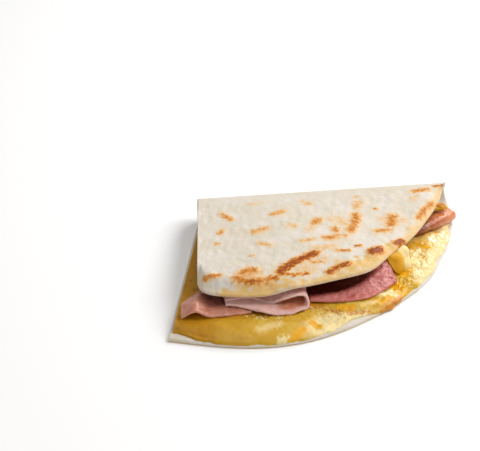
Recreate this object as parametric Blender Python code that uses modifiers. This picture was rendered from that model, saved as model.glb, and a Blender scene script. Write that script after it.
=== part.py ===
"""Half of a folded ham quesadilla, lying flat: a flour tortilla folded over melted cheese and folded
slices of ham, then cut across the half-moon.

Lengths in the formulas are in millimetres and become metres where a mesh is made. There the fold runs
along X with its outermost line at y = 0, the cut starts at x = 0 and the open rim faces -Y. ORIGIN then
moves the piece so that the origin is under the middle of its box.
"""

import bmesh
import bpy
import numpy as np

MM = 0.001
ORIGIN = (60.73, -62.54)  # the middle of the piece's box in the formulas

# The tortilla, 10 inches across before it was folded
TORTILLA_RADIUS = 125.5
TORTILLA_CENTRE = (20.3, 1.5)
TORTILLA_THICKNESS = 2.2
FOLD_HEIGHT = 16.5
FOLD_DEPTH = 6.0
FOLD_LENGTH = 144.0  # along its top
FOLD_END_SLANT = 3.6  # how much longer the fold is along its foot
LOWER_RIM_ANGLES = (112.0, 5.0)  # from the cut to the fold's end, clockwise from +X in degrees
UPPER_RIM_ANGLES = (108.4, 4.0)
RIM_WOBBLE = 1.2  # at 90 degrees
RIM_FULLNESS = 2.8  # how far the lower rim runs out near the fold's end
RIM_FLAT = 1.3  # how far it lies in after that
FOLD_SETBACK = 17.0  # how far the upper rim lies back from the circle past the fold's end
FRONT_SETBACK = 9.0  # and how much more in front
UPPER_BULGES = (1.2, 4.0)  # near the fold's end and at 56 degrees
UPPER_CORNER = 9.0  # how much the upper layer's corner at the cut is cut short by its rounding
CROWN_RISE = 4.3  # how far the upper layer stands above the fold, over the ham
CROWN_FALL = 0.8  # how much of that is lost towards the cut
UPPER_WAVES = 0.5
RIM_DROOP = 1.4  # how far the upper rim bends down
FRONT_DROOP = 3.8  # and how much more in front of the left ham
DROOP_DEPTH = 11.0  # how far in from the rim that bend starts

# The filling
GAP = 0.45  # clearance between neighbours
FACET_SAG = 0.35  # how far the facets under the upper layer may lie off its curve
HAM_THICKNESS = 1.4
CHEESE_EDGE = 0.6
LOWER_CHEESE_DEPTH = 2.8
CHEESE_MARGIN = 1.2  # bare rim outside the lower cheese
END_MARGINS = (4.0, 5.0)  # and how much more at the cut and at the fold's end
CHEESE_FILM = (71.0, 5.5)  # the middle and width in degrees of a stretch with hardly any cheese
FILM_DEPTH = 13.0  # how far in that stretch reaches
CHEESE_MOUND = 0.9
CHEESE_RIDGES = 0.45
UPPER_CHEESE_THICKNESS = 1.0
CHEESE_INSET = 4.5  # how far the upper cheese lies back from the upper rim
CHEESE_WAVE = 1.2
HAM_BACK = -15.0  # the ham stops short of the fold
HAM_RUFFLE = 3.9  # height of the arch in the left slice's front edge
HAM_SAG = 0.45  # how much of the free height the middle slice's upper leaf sinks by in its middle
HAM_FOLDS = 0.4
DRAPE_ANGLE = 40.4  # where upper cheese ran out over the rim and down
DRAPE_WIDTH = 3.7
DRAPE_REACH = 2.2  # how far past the upper rim it hangs


def smoothstep(t):
    """0 below t = 0, 1 above t = 1, and an S-shaped rise between them."""
    t = np.clip(t, 0.0, 1.0)
    return t * t * (3.0 - 2.0 * t)


def bump(t, middle, width):
    """A bell of height 1 at the middle."""
    return np.exp(-(((t - middle) / width) ** 2))


def mix(start, end, share):
    return start + (end - start) * share


# Outlines, in polar form about the tortilla's centre


def polar(angle, radius):
    turn = np.radians(angle)
    x = TORTILLA_CENTRE[0] + radius * np.cos(turn)
    y = TORTILLA_CENTRE[1] - radius * np.sin(turn)
    return x, y


def angle_and_radius(x, y):
    from_centre_x = x - TORTILLA_CENTRE[0]
    from_centre_y = TORTILLA_CENTRE[1] - y
    return np.degrees(np.arctan2(from_centre_y, from_centre_x)), np.hypot(from_centre_x, from_centre_y)


def lower_rim_radius(angle):
    """The tortilla's circle with a hand-rolled wobble, fuller by the fold's end and flat just after it."""
    wobble = (0.3 + RIM_WOBBLE * angle / 90.0) * np.cos(np.radians(360.0 * (angle - 82.0) / 52.0))
    return TORTILLA_RADIUS + wobble + RIM_FULLNESS * bump(angle, 9.0, 8.0) - RIM_FLAT * bump(angle, 30.0, 5.0)


def upper_rim_radius(angle):
    """The upper layer lies back from the lower rim, bulges in two places and has a rounded corner at
    the cut."""
    setback = FOLD_SETBACK * np.tanh(angle / 22.0) + FRONT_SETBACK * (angle / 105.0) ** 2
    bulges = UPPER_BULGES[0] * bump(angle, 12.0, 7.0) + UPPER_BULGES[1] * bump(angle, 56.0, 8.0)
    from_cut = UPPER_RIM_ANGLES[0] - np.minimum(angle, UPPER_RIM_ANGLES[0])
    corner = UPPER_CORNER * np.exp(-from_cut / 2.0)
    return TORTILLA_RADIUS - setback + bulges - corner


def cheese_margin(angle):
    """The bare rim outside the lower cheese: wider at both ends and at 66 degrees, none where cheese
    ran over."""
    at_cut = END_MARGINS[0] * smoothstep((angle - 99.0) / 12.0)
    at_fold = END_MARGINS[1] * smoothstep((18.0 - angle) / 14.0)
    return CHEESE_MARGIN + at_cut + at_fold + 2.2 * bump(angle, 66.0, 5.0) - 1.6 * bump(angle, 55.5, 3.5)


# Heights


def upper_height(x, y):
    """The outer face of the upper layer: it rises from the fold to a crown over the ham and droops at
    its rim."""
    angle, radius = angle_and_radius(x, y)
    from_fold = -y - FOLD_DEPTH
    crown = CROWN_RISE * smoothstep((angle - 8.0) / 55.0) - CROWN_FALL * smoothstep((angle - 78.0) / 30.0)
    waves = UPPER_WAVES * np.sin(x / 15.0 + 1.0) * np.sin(y / 19.0 + 0.6) * smoothstep(from_fold / 25.0)
    into_rim = smoothstep((radius - upper_rim_radius(angle) + DROOP_DEPTH) / DROOP_DEPTH) ** 1.6
    bend_down = RIM_DROOP + FRONT_DROOP * smoothstep((angle - 77.0) / 12.0)
    droop = bend_down * into_rim * smoothstep(from_fold / 12.0)
    return FOLD_HEIGHT + crown * smoothstep(from_fold / 70.0) + waves - droop


def upper_underside(x, y):
    """The inner face of the upper layer, lower where the layer slopes, as its thickness is across the
    slope."""
    step = 0.5
    slope_x = (upper_height(x + step, y) - upper_height(x - step, y)) / (2.0 * step)
    slope_y = (upper_height(x, y + step) - upper_height(x, y - step)) / (2.0 * step)
    return upper_height(x, y) - TORTILLA_THICKNESS * np.sqrt(1.0 + slope_x**2 + slope_y**2)


def lower_cheese_height(x, y):
    """The upper face of the lower cheese. It swells from a thin edge, stays a film round 71 degrees,
    mounds in front of the left ham and runs in ridges at the right."""
    angle, radius = angle_and_radius(x, y)
    inside = np.maximum(lower_rim_radius(angle) - cheese_margin(angle) - radius, 0.0)
    film = bump(angle, *CHEESE_FILM)
    swell = 1.0 - np.exp(-np.maximum(inside - FILM_DEPTH * film, 0.0) / 4.0)
    depth = LOWER_CHEESE_DEPTH - 1.2 * bump(angle, 8.0, 16.0)
    mound = CHEESE_MOUND * bump(angle, 92.0, 13.0) * bump(inside, 11.0, 8.0)
    waves = np.sin(inside / 2.0 + angle / 2.5) * bump(inside, 11.0, 7.0)
    ridges = CHEESE_RIDGES * bump(angle, 33.0, 14.0) * waves
    edge = CHEESE_EDGE + 0.3 * smoothstep(inside / 3.0)
    return TORTILLA_THICKNESS + GAP + edge + (depth - CHEESE_EDGE) * swell + mound + ridges


def ham_level(x, y, share):
    """The middle of a slice's thickness, at a share of the height that is free for it between the
    cheeses."""
    half = HAM_THICKNESS / 2.0
    low = lower_cheese_height(x, y) + GAP + half
    high = upper_underside(x, y) - FACET_SAG - UPPER_CHEESE_THICKNESS - 2.0 * GAP - half
    return mix(low, high, share)


# Surfaces: each takes a and b, from 0 to 1, and gives points in millimetres


def tortilla_outer(a, b):
    """The outer face of the folded tortilla: a runs from the cut, where the columns are closest, to the
    fold's end, and b from the lower rim, round the fold, to the upper rim."""
    flap, fold = 0.32, 0.18
    a = a**1.25
    turn = np.pi * np.clip((b - flap) / fold, 0.0, 1.0)
    fold_x = (FOLD_LENGTH + FOLD_END_SLANT * (1.0 + np.cos(turn)) / 2.0) * a
    fold_y = FOLD_DEPTH * (np.sin(turn) - 1.0)
    out_below = 1.0 - np.minimum(b / flap, 1.0)
    out_above = 1.0 - np.minimum((1.0 - b) / (1.0 - flap - fold), 1.0) ** 1.5
    lower_angle, upper_angle = mix(*LOWER_RIM_ANGLES, a), mix(*UPPER_RIM_ANGLES, a)
    lower_x, lower_y = polar(lower_angle, lower_rim_radius(lower_angle))
    upper_x, upper_y = polar(upper_angle, upper_rim_radius(upper_angle))
    x = fold_x + out_below * (lower_x - fold_x) + out_above * (upper_x - fold_x)
    y = fold_y + out_below * (lower_y - fold_y) + out_above * (upper_y - fold_y)
    fold_z = FOLD_HEIGHT * (1.0 - np.cos(turn)) / 2.0
    return x, y, np.where(b > flap + fold, upper_height(x, y), fold_z)


def lower_cheese_plan(a, b):
    """a runs from the cut to the fold's end, and b from the rim to the fold."""
    angle = mix(LOWER_RIM_ANGLES[0], 6.5, a)
    x, y = polar(angle, lower_rim_radius(angle) - cheese_margin(angle))
    along = b**1.4
    return mix(x, mix(0.4, 134.0, a), along), mix(y, -10.0, along)


def lower_cheese_top(a, b):
    x, y = lower_cheese_plan(a, b)
    return x, y, lower_cheese_height(x, y)


def lower_cheese_underside(a, b):
    x, y = lower_cheese_plan(a, b)
    return x, y, np.full_like(x, TORTILLA_THICKNESS + GAP)


def upper_cheese(a, b):
    """The layer under the upper tortilla, b from its rim to the fold. Round DRAPE_ANGLE its rim runs
    out past the tortilla's and down to the lower cheese."""
    angle = mix(UPPER_RIM_ANGLES[0] - 4.0, 24.0, a)
    drape = smoothstep(1.5 * bump(angle, DRAPE_ANGLE, DRAPE_WIDTH) - 0.25)
    at_cut = UPPER_CORNER * np.exp((angle - UPPER_RIM_ANGLES[0]) / 4.0)
    inset = CHEESE_INSET + CHEESE_WAVE * np.sin(angle / 4.0) + at_cut
    inset = mix(inset, -DRAPE_REACH, drape * smoothstep((0.45 - b) / 0.25))
    x, y = polar(angle, upper_rim_radius(angle) - inset)
    back = smoothstep((b - 0.25) / 0.75)
    x, y = mix(x, mix(1.5, 122.0, a), back), mix(y, -14.0, back)
    hung = upper_underside(x, y) - FACET_SAG - GAP - UPPER_CHEESE_THICKNESS / 2.0
    landed = lower_cheese_height(x, y) + GAP + UPPER_CHEESE_THICKNESS
    return x, y, mix(hung, landed, drape * smoothstep((0.3 - b) / 0.3))


def folded(t, leaf, reach):
    """A slice folded in two, t from one free edge to the other: the share along its leaves, over 1 in
    the bend, and the level, 1 in the first leaf and 0 in the other."""
    turn = np.pi * np.clip((t - leaf) / (1.0 - 2.0 * leaf), 0.0, 1.0)
    along = np.minimum(np.minimum(t, 1.0 - t) / leaf, 1.0) + reach * np.sin(turn)
    return along, 0.5 + 0.5 * np.cos(turn)


def ham_left(a, b):
    """A single slice by the cut. Its front edge arches off the cheese in a ruffle that dies out farther
    back."""
    left = -0.8 - 6.0 * (1.0 - b) - 11.5 * (1.0 - smoothstep((b - 0.1) / 0.2))
    right = mix(18.0, 38.0, b)
    x, y = mix(left, right, a), mix(-103.5 - 1.5 * np.sin(np.pi * a), HAM_BACK, b)
    ruffle = HAM_RUFFLE * bump(a, 0.19, 0.13) * (1.0 - smoothstep((b - 0.05) / 0.3))
    return x, y, ham_level(x, y, 0.0) + ruffle


def ham_middle(a, b):
    """A slice folded in two with its bend at the right, b from its front edge to the fold. The lower
    leaf sags forward onto the cheese, the upper one sinks onto it in front, and the slice widens to the
    cut farther back."""
    across, level = folded(a, 0.43, 0.055)
    sag = smoothstep((across - 0.43) / 0.25)
    lower_front = -98.4 - 9.6 * smoothstep(across / 0.6) + 3.0 * smoothstep((across - 0.8) / 0.2)
    upper_front = -96.5 - 4.5 * smoothstep((across - 0.2) / 0.6)
    left = mix(mix(5.0, -6.8, smoothstep((b - 0.05) / 0.3)), -0.6, b)
    x = mix(left, mix(44.9, 40.0, b), across)
    y = mix(mix(lower_front, upper_front, level), HAM_BACK, b)
    in_front = 1.0 - smoothstep(b / 0.25)
    low = mix(0.55, 0.06, sag * in_front)
    high = 0.97 - HAM_SAG * bump(across, 0.56, 0.17) * in_front
    return x, y, ham_level(x, y, mix(low, high, level))


def ham_right(a, b):
    """A single slice, b from its front edge inwards. It lies low at the left, under an open gap, and
    climbs to the upper cheese at the right."""
    angle = mix(74.0, 48.0, a)
    x, y = polar(angle, 116.5 - 13.0 * smoothstep((angle - 56.0) / 20.0))
    x, y = mix(x, mix(46.0, 82.0, a), b), mix(y, mix(HAM_BACK, -45.0, a), b)
    climb = smoothstep((b - mix(0.1, -0.04, a)) / mix(0.35, 0.28, a))
    folds = HAM_FOLDS * (1.0 + np.sin(9.0 * a + 1.0) * (1.0 - climb)) * smoothstep(b / 0.1)
    return x, y, ham_level(x, y, 0.83 * climb) + folds


def ham_corner(a, b):
    """A plump slice folded in two in the mouth at the fold's end, its bend towards the open rim."""
    along, level = folded(b, 0.38, 0.1)
    depth = 1.0 - along
    x, y = mix(117.0, 145.0, a), mix(-40.0, -24.5, a**1.5)
    x, y = mix(x, mix(116.0, 137.5, a), depth), mix(y, HAM_BACK + 2.0, depth)
    plump = 0.6 + 0.34 * np.sin(2.4 * a + 0.3)
    return x, y, ham_level(x, y, level * plump)


# Building


def clear_scene():
    for obj in list(bpy.data.objects):
        bpy.data.objects.remove(obj)


def food_material(name, colour, roughness):
    material = bpy.data.materials.new(name)
    material.use_nodes = True
    shader = material.node_tree.nodes["Principled BSDF"]
    shader.inputs["Base Color"].default_value = (*colour, 1.0)
    shader.inputs["Roughness"].default_value = roughness
    shader.inputs["Metallic"].default_value = 0.0
    return material


def flat_grid(columns, rows):
    """A flat grid whose vertices have a and b, from 0 to 1, as x and y."""
    mesh = bmesh.new()
    bmesh.ops.create_grid(mesh, x_segments=columns, y_segments=rows, size=0.5)
    bmesh.ops.translate(mesh, verts=mesh.verts, vec=(0.5, 0.5, 0.0))
    return mesh


def bend(verts, surface):
    """Moves grid vertices onto a surface, in metres from the object's origin."""
    a = np.array([vertex.co.x for vertex in verts])
    b = np.array([vertex.co.y for vertex in verts])
    x, y, z = surface(a, b)
    places = np.column_stack((x - ORIGIN[0], y - ORIGIN[1], z)) * MM
    for vertex, place in zip(verts, places):
        vertex.co = place


def add_object(name, mesh, material, collection):
    data = bpy.data.meshes.new(name)
    mesh.to_mesh(data)
    mesh.free()
    data.shade_smooth()
    data.materials.append(material)
    obj = bpy.data.objects.new(name, data)
    collection.objects.link(obj)
    return obj


def add_sheet(name, surface, columns, rows, thickness, offset, material, collection):
    """A bent grid given its thickness, on both sides of the surface for an offset of 0, inside it for 1."""
    mesh = flat_grid(columns, rows)
    bend(mesh.verts[:], surface)
    obj = add_object(name, mesh, material, collection)
    solidify = obj.modifiers.new("Thickness", "SOLIDIFY")
    solidify.thickness = thickness * MM
    solidify.offset = offset


def add_slab(name, top, underside, columns, rows, material, collection):
    """A closed body between two surfaces."""
    mesh = flat_grid(columns, rows)
    raised = bmesh.ops.extrude_face_region(mesh, geom=mesh.faces[:], use_keep_orig=True)
    top_verts = [item for item in raised["geom"] if isinstance(item, bmesh.types.BMVert)]
    lower_verts = list(set(mesh.verts) - set(top_verts))
    bend(top_verts, top)
    bend(lower_verts, underside)
    bmesh.ops.recalc_face_normals(mesh, faces=mesh.faces)
    add_object(name, mesh, material, collection)


def build():
    clear_scene()
    collection = bpy.data.collections.new("ham_quesadilla")
    bpy.context.scene.collection.children.link(collection)
    flour = food_material("tortilla", (0.80, 0.71, 0.57), 0.75)
    melted = food_material("cheese", (0.82, 0.52, 0.13), 0.3)
    meat = food_material("ham", (0.72, 0.38, 0.34), 0.45)
    add_sheet("tortilla", tortilla_outer, 34, 30, TORTILLA_THICKNESS, 1.0, flour, collection)
    add_slab("cheese_lower", lower_cheese_top, lower_cheese_underside, 36, 10, melted, collection)
    add_sheet("cheese_upper", upper_cheese, 42, 8, UPPER_CHEESE_THICKNESS, 0.0, melted, collection)
    add_sheet("ham_left", ham_left, 16, 8, HAM_THICKNESS, 0.0, meat, collection)
    add_sheet("ham_middle", ham_middle, 30, 8, HAM_THICKNESS, 0.0, meat, collection)
    add_sheet("ham_right", ham_right, 16, 11, HAM_THICKNESS, 0.0, meat, collection)
    add_sheet("ham_corner", ham_corner, 8, 16, HAM_THICKNESS, 0.0, meat, collection)


build()
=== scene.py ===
"""The looks of half a folded ham quesadilla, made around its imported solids.

Lengths in the formulas are in millimetres and become metres where a mesh is made. There the fold runs
along X with its outermost line at y = 0, the cut starts at x = 0 and the open rim faces -Y. ORIGIN then
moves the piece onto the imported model. Angles are clockwise from +X, in degrees.
"""

import bpy
import numpy as np
from mathutils import Matrix


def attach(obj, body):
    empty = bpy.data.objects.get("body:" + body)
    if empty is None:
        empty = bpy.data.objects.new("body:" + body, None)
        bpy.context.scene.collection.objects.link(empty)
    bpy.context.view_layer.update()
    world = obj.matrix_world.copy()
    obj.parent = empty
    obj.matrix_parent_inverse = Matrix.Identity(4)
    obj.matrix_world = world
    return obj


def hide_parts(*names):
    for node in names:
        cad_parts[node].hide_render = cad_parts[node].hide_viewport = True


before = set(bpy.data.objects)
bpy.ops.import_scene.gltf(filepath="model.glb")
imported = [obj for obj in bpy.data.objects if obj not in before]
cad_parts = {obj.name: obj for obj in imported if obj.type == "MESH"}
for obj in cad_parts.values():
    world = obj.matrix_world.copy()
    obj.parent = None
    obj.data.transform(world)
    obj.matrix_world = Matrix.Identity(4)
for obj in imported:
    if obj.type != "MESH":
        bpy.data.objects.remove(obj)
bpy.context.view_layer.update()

MM = 0.001
LUMP_WAVES = 14
LUMP_SCALE = 3.7  # what their sum is divided by, to stay mostly between -1 and 1
ORIGIN = (60.73, -62.54)  # the middle of the piece's box in the formulas

# The tortilla, 10 inches across before it was folded
TORTILLA_RADIUS = 125.5
TORTILLA_CENTRE = (20.3, 1.5)
TORTILLA_THICKNESS = 2.2
FOLD_HEIGHT = 16.5
FOLD_DEPTH = 6.0
FOLD_LENGTH = 144.0  # along its top
FLAP_SHARE = 0.32  # the part of the sheet's b from the lower rim to the fold
FOLD_SHARE = 0.18  # and the part round the fold
FOLD_END_SLANT = 3.6  # how much longer the fold is along its foot
LOWER_RIM_ANGLES = (112.0, 5.0)  # from the cut to the fold's end, clockwise from +X in degrees
UPPER_RIM_ANGLES = (108.4, 4.0)
RIM_WOBBLE = 1.2  # at 90 degrees
RIM_FULLNESS = 2.8  # how far the lower rim runs out near the fold's end
RIM_FLAT = 1.3  # how far it lies in after that
FOLD_SETBACK = 17.0  # how far the upper rim lies back from the circle past the fold's end
FRONT_SETBACK = 9.0  # and how much more in front
UPPER_BULGES = (1.2, 4.0)  # near the fold's end and at 56 degrees
UPPER_CORNER = 9.0  # how much the upper layer's corner at the cut is cut short by its rounding
CROWN_RISE = 4.3  # how far the upper layer stands above the fold, over the ham
CROWN_FALL = 0.8  # how much of that is lost towards the cut
UPPER_WAVES = 0.5
RIM_DROOP = 1.4  # how far the upper rim bends down
FRONT_DROOP = 3.8  # and how much more in front of the left ham
DROOP_DEPTH = 11.0  # how far in from the rim that bend starts

# The filling
GAP = 0.45  # clearance between neighbours
FACET_SAG = 0.35  # how far the facets under the upper layer may lie off its curve
HAM_THICKNESS = 1.4
CHEESE_EDGE = 0.6
LOWER_CHEESE_DEPTH = 2.8
CHEESE_MARGIN = 1.2  # bare rim outside the lower cheese
END_MARGINS = (4.0, 5.0)  # and how much more at the cut and at the fold's end
CHEESE_FILM = (71.0, 5.5)  # the middle and width in degrees of a stretch with hardly any cheese
FILM_DEPTH = 13.0  # how far in that stretch reaches
CHEESE_MOUND = 0.9
CHEESE_RIDGES = 0.45
UPPER_CHEESE_THICKNESS = 1.0
CHEESE_INSET = 4.5  # how far the upper cheese lies back from the upper rim
CHEESE_WAVE = 1.2
HAM_BACK = -15.0  # the ham stops short of the fold
HAM_RUFFLE = 3.9  # height of the arch in the left slice's front edge
HAM_SAG = 0.45  # how much of the free height the middle slice's upper leaf sinks by in its middle
HAM_FOLDS = 0.4
UPPER_CHEESE_ANGLES = (UPPER_RIM_ANGLES[0] - 4.0, 24.0)  # from the cut to its end near the fold's end
DRAPE_ANGLE = 41.0  # where upper cheese ran out over the rim and down, 0.6 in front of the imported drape
DRAPE_WIDTH = 4.3  # and 0.6 wider than it, as its soft edge runs out
DRAPE_REACH = 2.2  # how far past the upper rim it hangs
CHEESE_SEAT = 2.12  # the lower cheese starts just inside the tortilla, so no light shows between them
CHEESE_LIFT = 0.15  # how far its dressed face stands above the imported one
HAM_HALF = 0.85  # half the thickness of a dressed slice, and the radius of its edge
EDGE_ROWS = 6  # samples round a rounded edge
# Painted shade: the deep red that ham is darkened to far inside the filling, where shade falls
PAINTED_SHADE_TONE = (72, 10, 8)  # what ham darkens to inside the filling
COAT_ROUGHNESS = 0.12  # of the wet coat on cheese and ham

# Browned marks on the upper layer: darkness, width, and the points of a bent line. The layer shows them
# TOAST_SCALES times as dark and as wide.
TOAST_SCALES = (1.12, 1.32)
TOAST = (
    (1.05, 2.5, ((55, -74), (50, -77), (43, -81), (37, -86), (35, -89))),
    (0.75, 1.5, ((38, -91), (42, -92), (45, -91))),
    (0.85, 1.5, ((48, -91),)),
    (0.68, 2.6, ((15, -87), (19, -85), (22, -86))),
    (0.70, 2.0, ((11, -91), (17, -94), (27, -94))),
    (0.78, 1.8, ((29, -93), (32, -93))),
    (0.62, 1.8, ((-4, -87), (3, -87))),
    (0.65, 1.1, ((22, -72),)),
    (0.60, 1.4, ((53, -82), (58, -82))),
    (0.42, 1.6, ((66, -82),)),
    (1.00, 1.7, ((60, -91), (66, -87), (71, -85))),
    (1.25, 2.5, ((86, -76), (90, -74))),
    (1.10, 2.2, ((101, -67), (105, -64))),
    (0.80, 1.3, ((79, -69), (81, -69))),
    (0.36, 3.0, ((66, -69), (56, -69))),
    (0.62, 1.4, ((68, -73), (74, -73))),
    (0.72, 1.9, ((71, -52), (71, -48))),
    (0.66, 2.8, ((86, -33), (84, -41), (79, -52))),
    (0.62, 2.4, ((70, -58), (64, -59))),
    (0.64, 1.5, ((75, -58),)),
    (0.40, 2.0, ((57, -60), (50, -61))),
    (0.66, 2.3, ((64, -37), (61, -42))),
    (0.36, 2.6, ((59, -46), (56, -50))),
    (0.62, 1.8, ((90, -14),)),
    (0.48, 2.4, ((88, -25), (90, -20))),
    (0.75, 1.3, ((98, -28),)),
    (0.68, 3.0, ((106, -37), (103, -46))),
    (0.62, 2.4, ((100, -52), (94, -53))),
    (0.40, 1.8, ((113, -50),)),
    (0.62, 2.0, ((124, -12), (132, -11))),
    (0.34, 1.8, ((124, -18), (121, -21))),
    (0.80, 1.6, ((137, -7), (142, -7))),
    (0.66, 2.0, ((132, -25), (126, -31), (120, -40))),
    (0.55, 2.4, ((40, -29), (46, -25))),
    (0.62, 2.0, ((12, -24), (16, -30))),
    (0.50, 2.8, ((27, -47), (33, -44))),
    (0.60, 1.6, ((6, -56),)),
    (0.64, 2.0, ((29, -14), (36, -12))),
    (0.40, 3.0, ((48, -44),)),
    (0.58, 1.6, ((10, -41), (8, -45))),
    (0.50, 2.2, ((58, -14), (62, -18))),
    (0.44, 2.0, ((33, -63), (28, -60))),
    (0.52, 3.0, ((16, -88), (23, -87))),
    (0.46, 3.0, ((13, -92), (28, -95))),
    (0.34, 4.5, ((74, -38), (82, -46))),
    (0.32, 4.0, ((100, -40), (110, -42))),
    (0.30, 4.0, ((66, -60), (76, -56))),
    (0.32, 3.6, ((44, -86), (52, -88))),
    (0.30, 3.4, ((60, -79), (52, -83))),
)

# The two browned knobs at the upper layer's rim: height, width, and the points of a line
KNOBS = ((0.9, 2.8, ((86, -77), (93, -71))), (0.9, 2.6, ((98, -69), (104, -64))))

# Browned marks on the fold, as places along it and heights
FOLD_TOAST = (
    (0.60, 2.2, ((14, 9), (19, 10))),
    (0.70, 2.0, ((33, 5), (38, 6))),
    (0.50, 2.4, ((52, 11), (58, 12))),
    (0.72, 2.2, ((74, 7), (80, 6))),
    (0.55, 2.0, ((93, 12), (97, 11))),
    (0.66, 2.4, ((112, 6), (119, 7))),
    (0.60, 1.8, ((133, 11), (136, 10))),
)

# Buttery yellow of the upper layer where cheese soaked its rim
BUTTER = (
    (1.35, 4.2, ((70, -88), (80, -84), (90, -78), (97, -71))),
    (0.85, 3.0, ((38, -97), (52, -98), (66, -93))),
    (1.10, 4.2, ((4, -98), (20, -99), (36, -98))),
    (0.85, 2.6, ((133, -24), (136, -18))),
    (0.55, 4.0, ((-8, -92), (-11, -86))),
)

# Strings of molten cheese in the pool at the right: height, width, and the points of a bent line
STRINGS = (
    (1.00, 0.75, ((99, -70), (103, -73), (106, -76), (107, -81), (102, -86))),
    (0.85, 0.65, ((104, -65), (107, -71), (110, -76), (112, -80))),
    (0.95, 0.75, ((111, -57), (110, -66), (113, -72), (116, -70), (118, -63))),
    (0.85, 0.70, ((100, -89), (107, -84), (112, -82), (118, -75))),
    (0.60, 0.65, ((116, -55), (119, -61), (122, -68))),
    (0.70, 0.60, ((124, -66), (119, -76), (112, -85), (105, -93))),
    (0.50, 0.65, ((126, -52), (127, -59), (124, -65))),
    (0.60, 0.85, ((92, -84), (97, -77), (102, -73))),
    (0.75, 0.55, ((106, -62), (112, -64), (117, -58), (124, -58))),
    (0.65, 0.50, ((121, -50), (128, -50), (131, -56))),
    (0.70, 0.55, ((98, -80), (103, -80), (109, -86), (108, -90))),
    (0.60, 0.50, ((114, -77), (121, -71), (125, -62))),
    (0.60, 0.55, ((94, -90), (100, -84), (106, -78))),
)

# The bubbly belt in front of the ham, and the crumbs in it: a line's start and end, and how many
BELT = ((1.0, 4.5, ((12, -108), (24, -108), (36, -108))), (1.0, 3.5, ((44, -101), (56, -104), (68, -107))))
CRUMB_LINES = (((14, -106), (34, -108), 30), ((46, -101), (66, -106), 34))

# The browned bubble of cheese by the corner slice
BLISTER_CENTRE = (135.0, -25.6, 13.2)
BLISTER_RADII = (5.0, 2.8, 1.7)

# Colours of cheese, by where it lies: strength, width, points
EGG_YELLOW = (
    (1.0, 2.6, ((47, -113), (51, -115))),
    (1.0, 2.2, ((36, -124), (42, -118))),
    (0.9, 2.2, ((122, -53), (124, -54))),
    (1.0, 3.2, ((103, -78), (105, -77))),
    (1.0, 4.2, ((97, -88), (100, -92))),
    (0.8, 3.0, ((95, -73), (99, -69))),
    (0.8, 2.6, ((64, -102), (70, -103))),
    (0.7, 2.4, ((86, -100), (92, -97))),
    (0.7, 3.0, ((-14, -92), (-17, -99))),
    (0.35, 4.0, ((-6, -108), (8, -112))),
    (0.4, 3.0, ((25, -107), (36, -110))),
)
PALE = (
    (0.7, 2.0, ((29, -124), (34, -123))),
    (0.8, 4.5, ((54, -110), (66, -107), (78, -109))),
    (0.8, 3.0, ((84, -93), (95, -93))),
    (0.9, 3.0, ((104, -64), (108, -66))),
    (0.7, 5.0, ((128, -46), (133, -42))),
    (0.5, 4.0, ((20, -117), (30, -114))),
    (0.6, 3.0, ((112, -60), (114, -68))),
    (0.5, 2.5, ((76, -101), (82, -100))),
    (0.9, 2.6, ((98, -71), (104, -68), (108, -64))),
)
BROWNED = (
    (0.8, 1.8, ((86, -105), (92, -101), (98, -96))),
    (0.5, 1.4, ((48, -99), (66, -106), (82, -106))),
    (0.6, 1.5, ((114, -84), (118, -80))),
    (0.5, 1.2, ((117, -42), (125, -40), (134, -38))),
    (0.5, 2.0, ((24, -105), (34, -107))),
)

# Tones of each slice, from 0 to 255: plain, deep, pale, and a painted shade on its inner side
HAM_TONES = {
    "salmon": ((202, 138, 116), (184, 112, 86), (226, 178, 156), (214, 122, 44)),
    "pale": ((230, 186, 178), (218, 164, 154), (244, 214, 204), (190, 104, 50)),
    "rosy": ((202, 114, 104), (184, 90, 84), (220, 148, 136), (170, 84, 80)),
    "plump": ((214, 132, 78), (192, 100, 46), (232, 168, 120), (166, 88, 56)),
}

# Soft boxes: where they stand in metres, their size, power and tone. All face the piece.
LIGHTS = {
    "key": ((0.80, 0.12, 0.85), 0.7, 8.0, (1.0, 0.99, 0.975)),
    "back": ((0.62, 0.75, 0.60), 0.36, 4.6, (1.0, 0.99, 0.98)),
    "top": ((-0.1, -0.1, 1.2), 0.7, 3.0, (1.0, 0.99, 0.97)),
    "front": ((0.45, -0.9, 0.7), 0.7, 1.3, (1.0, 0.99, 0.97)),
}
SKY = 0.34
FLOOR_TONE = 0.99
FLOOR_REACH = 3.0

# The view of the photograph, 747 mm from the piece, in millimetres and degrees
CAMERA_PLACE = (-56.05, -633.76, 403.73)
CAMERA_TURN = -7.287
CAMERA_TILT = 32.706
CAMERA_LENS = 97.5
CAMERA_SENSOR = 36.0


def smoothstep(t):
    """0 below t = 0, 1 above t = 1, and an S-shaped rise between them."""
    t = np.clip(t, 0.0, 1.0)
    return t * t * (3.0 - 2.0 * t)


def rise(value, start, length):
    """0 before the start, 1 after the length, and an S-shaped rise between them."""
    return smoothstep((value - start) / length)


def fall(value, start, length):
    """1 before the start, 0 after the length, and an S-shaped fall between them."""
    return 1.0 - smoothstep((value - start) / length)


def bump(t, middle, width):
    """A bell of height 1 at the middle."""
    return np.exp(-(((t - middle) / width) ** 2))


def mix(start, end, share):
    return start + (end - start) * share


def lumps(x, y, size, seed):
    """Uneven swell, mostly between -1 and 1: the scaled sum of plane waves of about this length, each
    turned, shifted and stretched by a seeded draw."""
    draw = np.random.default_rng(seed)
    total = np.zeros(np.broadcast(x, y).shape)
    for _ in range(LUMP_WAVES):
        turn, shift = draw.uniform(0.0, 2.0 * np.pi, 2)
        wave = 2.0 * np.pi / (size * draw.uniform(0.7, 1.5))
        total += np.sin((x * np.cos(turn) + y * np.sin(turn)) * wave + shift)
    return total / LUMP_SCALE


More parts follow.
